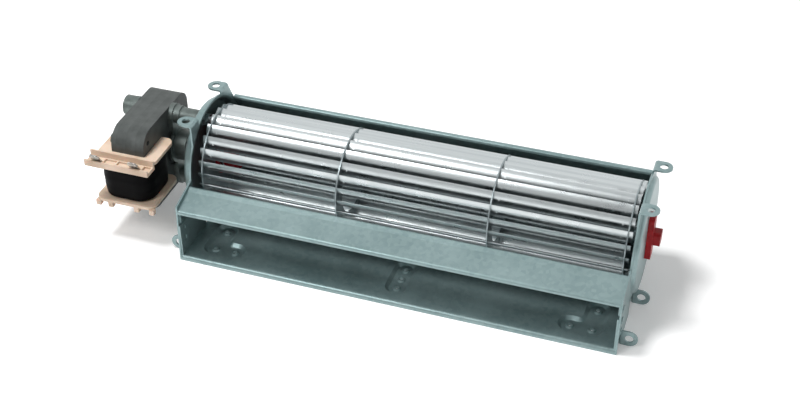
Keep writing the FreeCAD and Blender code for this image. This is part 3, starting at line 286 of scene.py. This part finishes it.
# Bobbin: injection moulded glass filled nylon, natural beige.
# The eye gets a matt cream with a faint fibre streak and rounded moulded edges.
nylon = {
    "surface": {"Roughness": 0.48, "IOR": 1.53, "Subsurface Weight": 0.12, "Subsurface Scale": 0.002},
    "flow": {"Scale": perMetre(14), "Detail": 4.0, "Distortion": 0.6},
    "fibre": {"Scale": perMetre(0.8), "Detail": 2.0},
    "tone": {"stops": [(0.25, "#c1a78f"), (0.6, "#dac4b0")]},
    "edge": {"samples": 4, "Radius": metres(0.5)},
    "relief": {"Strength": 0.12, "Distance": metres(0.04)},
}
beigeNylon, tree, shader, where = newMaterial("glassFilledNylon", nylon["surface"])
flow = addNode(tree, "ShaderNodeTexNoise", nylon["flow"], {"Vector": where})
fibre = addNode(tree, "ShaderNodeTexNoise", nylon["fibre"], {"Vector": where})
finishMaterial(tree, shader, nylon, flow.outputs["Fac"], height=fibre.outputs["Fac"])

# Coil wrap: black acetate cloth tape over the winding, varnished.
# The eye gets a near black with a slow wrinkle and a dull shine. The weave is too fine to show,
# so faint steps 4.4 mm apart stand for the turns of the tape.
tape = {
    "surface": {"IOR": 1.48, "Specular IOR Level": 0.05},
    "wrinkle": {"Scale": perMetre(5), "Detail": 4.0, "Distortion": 0.8},
    "turns": {"wave_type": "BANDS", "bands_direction": "Z", "Scale": bandScale(4.39823), "Distortion": 0.6},
    "tone": {"stops": [(0.3, "#040405"), (0.8, "#0b0b0c")]},
    "sheen": {"To Min": 0.38, "To Max": 0.66},
    "folds": {"Strength": 0.3, "Distance": metres(0.2)},
    "steps": {"Strength": 0.2, "Distance": metres(0.05)},
}
blackTape, tree, shader, where = newMaterial("acetateCoilTape", tape["surface"])
wrinkle = addNode(tree, "ShaderNodeTexNoise", tape["wrinkle"], {"Vector": where})
turns = addNode(tree, "ShaderNodeTexWave", tape["turns"], {"Vector": where})
finishMaterial(tree, shader, tape, wrinkle.outputs["Fac"])
folds = addNode(tree, "ShaderNodeBump", tape["folds"], {"Height": wrinkle.outputs["Fac"]})
steps = addNode(tree, "ShaderNodeBump", tape["steps"], {
    "Height": turns.outputs["Fac"], "Normal": folds.outputs["Normal"],
})
feed(tree, shader, {"Normal": steps.outputs["Normal"]})

# Tinned brass tabs: hot tinned strip.
# The eye gets a mottled grey silver where the tin froze unevenly.
tin = {
    "surface": {"Metallic": 0.95},
    "blots": {"Scale": perMetre(1.4), "Detail": 4.0},
    "tone": {"stops": [(0.38, "#8d8c88"), (0.6, "#cfcdc8")]},
    "sheen": {"To Min": 0.25, "To Max": 0.5},
    "edge": {"samples": 4, "Radius": metres(0.2)},
}
tinnedBrass, tree, shader, where = newMaterial("tinnedBrass", tin["surface"])
blots = addNode(tree, "ShaderNodeTexNoise", tin["blots"], {"Vector": where})
finishMaterial(tree, shader, tin, blots.outputs["Fac"])

# Copper shading rings: bare bar, bent and brazed.
# The eye gets a warm pinkish brown, darker where it has tarnished.
bar = {
    "surface": {"Metallic": 1.0, "Roughness": 0.34},
    "tarnish": {"Scale": perMetre(2.5), "Detail": 4.0},
    "tone": {"stops": [(0.3, "#6d4233"), (0.65, "#a96c50")]},
}
bareCopper, tree, shader, where = newMaterial("bareCopper", bar["surface"])
tarnish = addNode(tree, "ShaderNodeTexNoise", bar["tarnish"], {"Vector": where})
finishMaterial(tree, shader, bar, tarnish.outputs["Fac"])

# Zinc die casting, tumbled and left bare.
# The eye gets a soft mid grey with a faint orange-peel skin and rounded edges.
casting = {
    "surface": {"Metallic": 0.85},
    "cloud": {"Scale": perMetre(9), "Detail": 4.0},
    "skin": {"Scale": perMetre(1.2), "Detail": 2.0},
    "tone": {"stops": [(0.3, "#59625f"), (0.7, "#7f8886")]},
    "sheen": {"To Min": 0.36, "To Max": 0.54},
    "edge": {"samples": 4, "Radius": metres(0.6)},
    "relief": {"Strength": 0.25, "Distance": metres(0.08)},
}
dieCast, tree, shader, where = newMaterial("tumbledZincCasting", casting["surface"])
cloud = addNode(tree, "ShaderNodeTexNoise", casting["cloud"], {"Vector": where})
skin = addNode(tree, "ShaderNodeTexNoise", casting["skin"], {"Vector": where})
finishMaterial(tree, shader, casting, cloud.outputs["Fac"], height=skin.outputs["Fac"])

bladeNames = sorted(name for name in cadNodes if name.startswith("blade_"))
dress(galvanised, "galvanised_sheet", "scroll_housing", "tongue_plate", "motor_end_plate",
      "bearing_end_plate")
dress(brightAluminium, "blade_aluminium", *bladeNames)
dress(discSteel, "disc_steel", "motor_side_disc", "middle_disc_1", "middle_disc_2", "bearing_side_disc")
dress(redSilicone, "red_silicone", "rubber_hub", "bearing_support")
dress(brightSteel, "bright_steel", "hub_clip", "hub_insert", "motor_shaft", "stub_shaft", "motor_screws",
      "lock_washers", "motor_nuts", "front_retainer", "rear_retainer")
dress(sinteredBronze, "sintered_bronze", "bearing_bush", "front_bearing", "rear_bearing")
dress(lamination, "core_grey", "stator_core", "coil_core")
dress(lamination, "rotor_steel", "rotor")
dress(beigeNylon, "bobbin_beige", "bobbin")
dress(tinnedBrass, "tinned_metal", "spade_terminal_left", "spade_terminal_right")
dress(bareCopper, "copper", "shading_ring_upper", "shading_ring_lower")
dress(dieCast, "zinc_casting", "front_bracket", "rear_bracket")
print("materials given to", len(cadNodes), "nodes")

# Taped coil: stands for the plain CAD winding, with the tape's laps and the swell of the turns under it
coil = {  # millimetres, and degrees for the angle
    "corner": 10.0, "cornerSteps": 8, "reach": 4.6, "levels": 17, "swell": 0.55, "swellPower": 0.6,
    "laps": 3, "lapStep": 0.16, "capSlope": 0.9, "edge": 0.9, "edgeSteps": 3, "edgeAngle": 50,
}
coilLow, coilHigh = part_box("winding")
coilMiddle = (coilLow + coilHigh) / 2
coilSize = coilHigh - coilLow
wrap = bmesh.new()
bmesh.ops.create_cube(wrap, size=1, matrix=Matrix.Translation(coilMiddle) @ Matrix.Diagonal((*coilSize, 1)))
bmesh.ops.bevel(wrap, geom=uprightEdges(wrap, coilSize.z), offset=metres(coil["corner"]),
                segments=coil["cornerSteps"], profile=0.5, affect="EDGES", material=-1)
wrap.normal_update()
caps = [face for face in wrap.faces if abs(face.normal.z) > coil["capSlope"]]
bmesh.ops.subdivide_edges(wrap, edges=uprightEdges(wrap, coilSize.z), cuts=coil["levels"])
for vertex in wrap.verts:  # the wall swells between the flanges and steps out at each lap of the tape
    level = min(max((vertex.co.z - coilLow.z) / coilSize.z, 0), 1)
    swell = coil["swell"] * math.sin(math.pi * level) ** coil["swellPower"]
    lap = coil["lapStep"] * ((level * coil["laps"]) % 1)
    shrink = metres(coil["swell"] + coil["lapStep"] - swell - lap)
    fromMiddle = vertex.co - coilMiddle
    vertex.co.x -= shrink * fromMiddle.x / (coilSize.x / 2)
    vertex.co.y -= shrink * fromMiddle.y / (coilSize.y / 2)
bmesh.ops.inset_individual(wrap, faces=caps, thickness=metres(coil["reach"]))
bmesh.ops.delete(wrap, geom=caps, context="FACES_ONLY")
bmesh.ops.bridge_loops(wrap, edges=[edge for edge in wrap.edges if edge.is_boundary])
bmesh.ops.recalc_face_normals(wrap, faces=wrap.faces[:])
for face in wrap.faces:
    face.smooth = True
tapedCoil = addPiece("tapedCoil", wrap, blackTape)
softEdge = tapedCoil.modifiers.new("softEdge", "BEVEL")
softEdge.width = metres(coil["edge"])
softEdge.segments = coil["edgeSteps"]
softEdge.limit_method = "ANGLE"
softEdge.angle_limit = math.radians(coil["edgeAngle"])
softEdge.harden_normals = True
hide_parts("winding")
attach(tapedCoil, "housing")
print("coil taped")

# Lock dents: short cuts punched up from every blade beside each disc, so that it can't slide in its slots
dents = {  # millimetres, and degrees for the lean
    "radius": 27.62, "lean": 39.8, "long": 2.3, "wide": 0.55, "proud": 0.42, "besideDisc": 3.6, "sink": 0.1,
}
besideDisc = metres(dents["besideDisc"])
axisPlace = (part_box("middle_disc_1")[0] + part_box("middle_disc_1")[1]) / 2
discMiddles = [(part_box(name)[0].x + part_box(name)[1].x) / 2 for name in ("middle_disc_1", "middle_disc_2")]
dentPlaces = [x + besideDisc for x in discMiddles]
dentPlaces.append(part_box("motor_side_disc")[1].x + besideDisc)
dentPlaces.append(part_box("bearing_side_disc")[0].x - besideDisc)
stakes = bmesh.new()
for number in range(len(bladeNames)):
    for along in dentPlaces:
        dent = bmesh.ops.create_cube(stakes, size=metres(1))["verts"]
        bmesh.ops.scale(stakes, verts=dent, vec=(dents["wide"], dents["long"], 2 * dents["proud"]))
        for vertex in dent:  # the punched end stands up, the other end fades into the blade
            if vertex.co.y > 0 and vertex.co.z > 0:
                vertex.co.z = metres(dents["sink"])
        place = (Matrix.Translation((along, axisPlace.y, axisPlace.z))
                 @ Matrix.Rotation(-math.tau * number / len(bladeNames), 4, "X")
                 @ Matrix.Translation((0, 0, metres(dents["radius"])))
                 @ Matrix.Rotation(math.radians(dents["lean"]), 4, "X"))
        bmesh.ops.transform(stakes, matrix=place, verts=dent)
bmesh.ops.recalc_face_normals(stakes, faces=stakes.faces[:])
bladeLockDents = addPiece("bladeLockDents", stakes, brightAluminium)
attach(bladeLockDents, "impeller")
print("blades staked")

# Cap collar: the left cap's sheet runs on inwards round the shaft, so that no light falls past the hub
capCollar = {"inner": 8.0, "outer": 15.3, "wall": 0.7, "sides": 96}  # radii and wall in millimetres
capWall = metres(capCollar["wall"])
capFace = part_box("lock_washers")[1].x
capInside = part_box("motor_nuts")[0].x
collarStart = (capFace + capInside) / 2 - capWall / 2
alongShaft = (Matrix.Translation((collarStart, axisPlace.y, axisPlace.z))
              @ Matrix.Rotation(math.pi / 2, 4, "Y"))
collar = bmesh.new()
for radius in (capCollar["inner"], capCollar["outer"]):
    bmesh.ops.create_circle(collar, segments=capCollar["sides"], radius=metres(radius), matrix=alongShaft)
ring = bmesh.ops.bridge_loops(collar, edges=collar.edges[:])["faces"]
grown = bmesh.ops.extrude_face_region(collar, geom=ring)["geom"]
outward = [item for item in grown if isinstance(item, bmesh.types.BMVert)]
bmesh.ops.translate(collar, verts=outward, vec=(capWall, 0, 0))
bmesh.ops.recalc_face_normals(collar, faces=collar.faces[:])
motorCapCollar = addPiece("motorCapCollar", collar, galvanised)
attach(motorCapCollar, "housing")
print("left cap closed round the shaft")

# Floor: matt white studio sweep; it keeps the shadow and shows white to the camera and to metal
studio = {
    "floorHalf": 3.0,
    "surface": {
        "Base Color": "#ffffff", "Roughness": 0.9, "Specular IOR Level": 0.1, "Emission Color": "#ffffff",
    },
    "glow": {"From Min": 0.35, "From Max": 1.3, "To Min": 0.16, "To Max": 0.7},
}
floorMaterial, tree, shader, where = newMaterial("mattWhiteSweep", studio["surface"])
path = addNode(tree, "ShaderNodeLightPath")
away = addNode(tree, "ShaderNodeVectorMath", {"operation": "LENGTH"}, {0: where})
# painted light: the floor glows to the camera and to metal, faintly near the fan and more strongly further
# out
glow = addNode(tree, "ShaderNodeMapRange", studio["glow"], {"Value": away.outputs["Value"]})
lift = addNode(tree, "ShaderNodeMath", {"operation": "MULTIPLY"}, {
    0: directRays(tree, path), 1: glow.outputs["Result"],
})
feed(tree, shader, {"Emission Strength": lift.outputs[0]})
sweep = bmesh.new()
bmesh.ops.create_grid(sweep, x_segments=1, y_segments=1, size=studio["floorHalf"])
floor = addPiece("studioFloor", sweep, floorMaterial)

# World: white to the camera, metal and glass, and weaker on matt faces.
# The front sky that metal mirrors is bright in the middle, as from a softbox, and dims to both sides.
sky = {
    "light": {"Color": linearColour("#ffffff")},
    "strength": {"To Min": 0.35, "To Max": 1.0},
    "middle": {"operation": "SUBTRACT", 1: -0.265},  # X of the brightest way
    "sides": {"interpolation_type": "SMOOTHSTEP", "From Min": 0.05, "From Max": 0.13},
    "front": {"interpolation_type": "SMOOTHSTEP", "From Min": -0.1, "From Max": -0.4},
    "kept": {"operation": "MULTIPLY_ADD", 1: -0.7, 2: 1.0},  # 0.3 of the light is left at the sides
}
world = bpy.data.worlds.new("studioWorld")
world.use_nodes = True
bpy.context.scene.world = world
tree = world.node_tree
tree.nodes.clear()
path = addNode(tree, "ShaderNodeLightPath")
strength = addNode(tree, "ShaderNodeMapRange", sky["strength"], {"Value": directRays(tree, path)})
skyWay = addNode(tree, "ShaderNodeTexCoord").outputs["Generated"]
skyAxes = addNode(tree, "ShaderNodeSeparateXYZ", None, {"Vector": skyWay})
fromMiddle = addNode(tree, "ShaderNodeMath", sky["middle"], {0: skyAxes.outputs["X"]})
aside = addNode(tree, "ShaderNodeMath", {"operation": "ABSOLUTE"}, {0: fromMiddle.outputs[0]})
sideShade = addNode(tree, "ShaderNodeMapRange", sky["sides"], {"Value": aside.outputs[0]})
frontShade = addNode(tree, "ShaderNodeMapRange", sky["front"], {"Value": skyAxes.outputs["Y"]})
shade = addNode(tree, "ShaderNodeMath", {"operation": "MULTIPLY"}, {
    0: sideShade.outputs["Result"], 1: frontShade.outputs["Result"],
})
inMetal = addNode(tree, "ShaderNodeMath", {"operation": "MULTIPLY"}, {
    0: shade.outputs[0], 1: path.outputs["Is Glossy Ray"],
})
kept = addNode(tree, "ShaderNodeMath", sky["kept"], {0: inMetal.outputs[0]})
skyLevel = addNode(tree, "ShaderNodeMath", {"operation": "MULTIPLY"}, {
    0: strength.outputs["Result"], 1: kept.outputs[0],
})
light = addNode(tree, "ShaderNodeBackground", sky["light"], {"Strength": skyLevel.outputs[0]})
addNode(tree, "ShaderNodeOutputWorld", None, {"Surface": light.outputs["Background"]})
print("floor and world set")

# Lamps: a small key overhead for the shadows, a bank in front on the left for the metal, and a weak fill
lamps = {  # places and sizes in metres
    "keySoftbox": {"place": (-0.38, -0.05, 1.2), "size": 0.3, "watts": 11, "inMetal": False},
    "frontBank": {"place": (-0.47, -0.75, 1.04), "size": 0.42, "watts": 4.6, "inMetal": True},
    "fillSoftbox": {"place": (0.7, -1.2, 0.9), "size": 0.9, "watts": 1.0, "inMetal": True},
}
fanMiddle = Vector((0, 0, 0.03))  # every lamp points here
for name, lamp in lamps.items():
    data = bpy.data.lights.new(name, "AREA")
    data.size = lamp["size"]
    data.energy = lamp["watts"]
    softbox = bpy.data.objects.new(name, data)
    softbox.location = lamp["place"]
    softbox.visible_glossy = lamp["inMetal"]
    softbox.rotation_euler = (fanMiddle - Vector(lamp["place"])).to_track_quat("-Z", "Y").to_euler()
    bpy.context.scene.collection.objects.link(softbox)
print("lamps set")

# Camera: read from the photo's perspective
photo = {
    "place": (0.19195, -0.57233, 0.50292), "azimuth": 18.779, "elevation": 36.784, "roll": -0.262,
    "lens": 60.3, "sensor": 36, "nearest": 0.01, "farthest": 20,
}
turn = math.radians(photo["azimuth"])
rise = math.radians(photo["elevation"])
roll = math.radians(photo["roll"])
right = Vector((math.cos(turn), math.sin(turn), 0))
ahead = Vector((-math.sin(turn) * math.cos(rise), math.cos(turn) * math.cos(rise), -math.sin(rise)))
up = right.cross(ahead)
rolledRight = right * math.cos(roll) + up * math.sin(roll)
rolledUp = up * math.cos(roll) - right * math.sin(roll)
view = Matrix((rolledRight, rolledUp, -ahead)).transposed().to_4x4()
cameraData = bpy.data.cameras.new("photoCamera")
cameraData.sensor_width = photo["sensor"]
cameraData.lens = photo["lens"]
cameraData.clip_start = photo["nearest"]
cameraData.clip_end = photo["farthest"]
camera = bpy.data.objects.new("photoCamera", cameraData)
camera.matrix_world = Matrix.Translation(photo["place"]) @ view
bpy.context.scene.collection.objects.link(camera)
bpy.context.scene.camera = camera
bpy.context.scene.view_settings.view_transform = "Standard"
print("camera set")
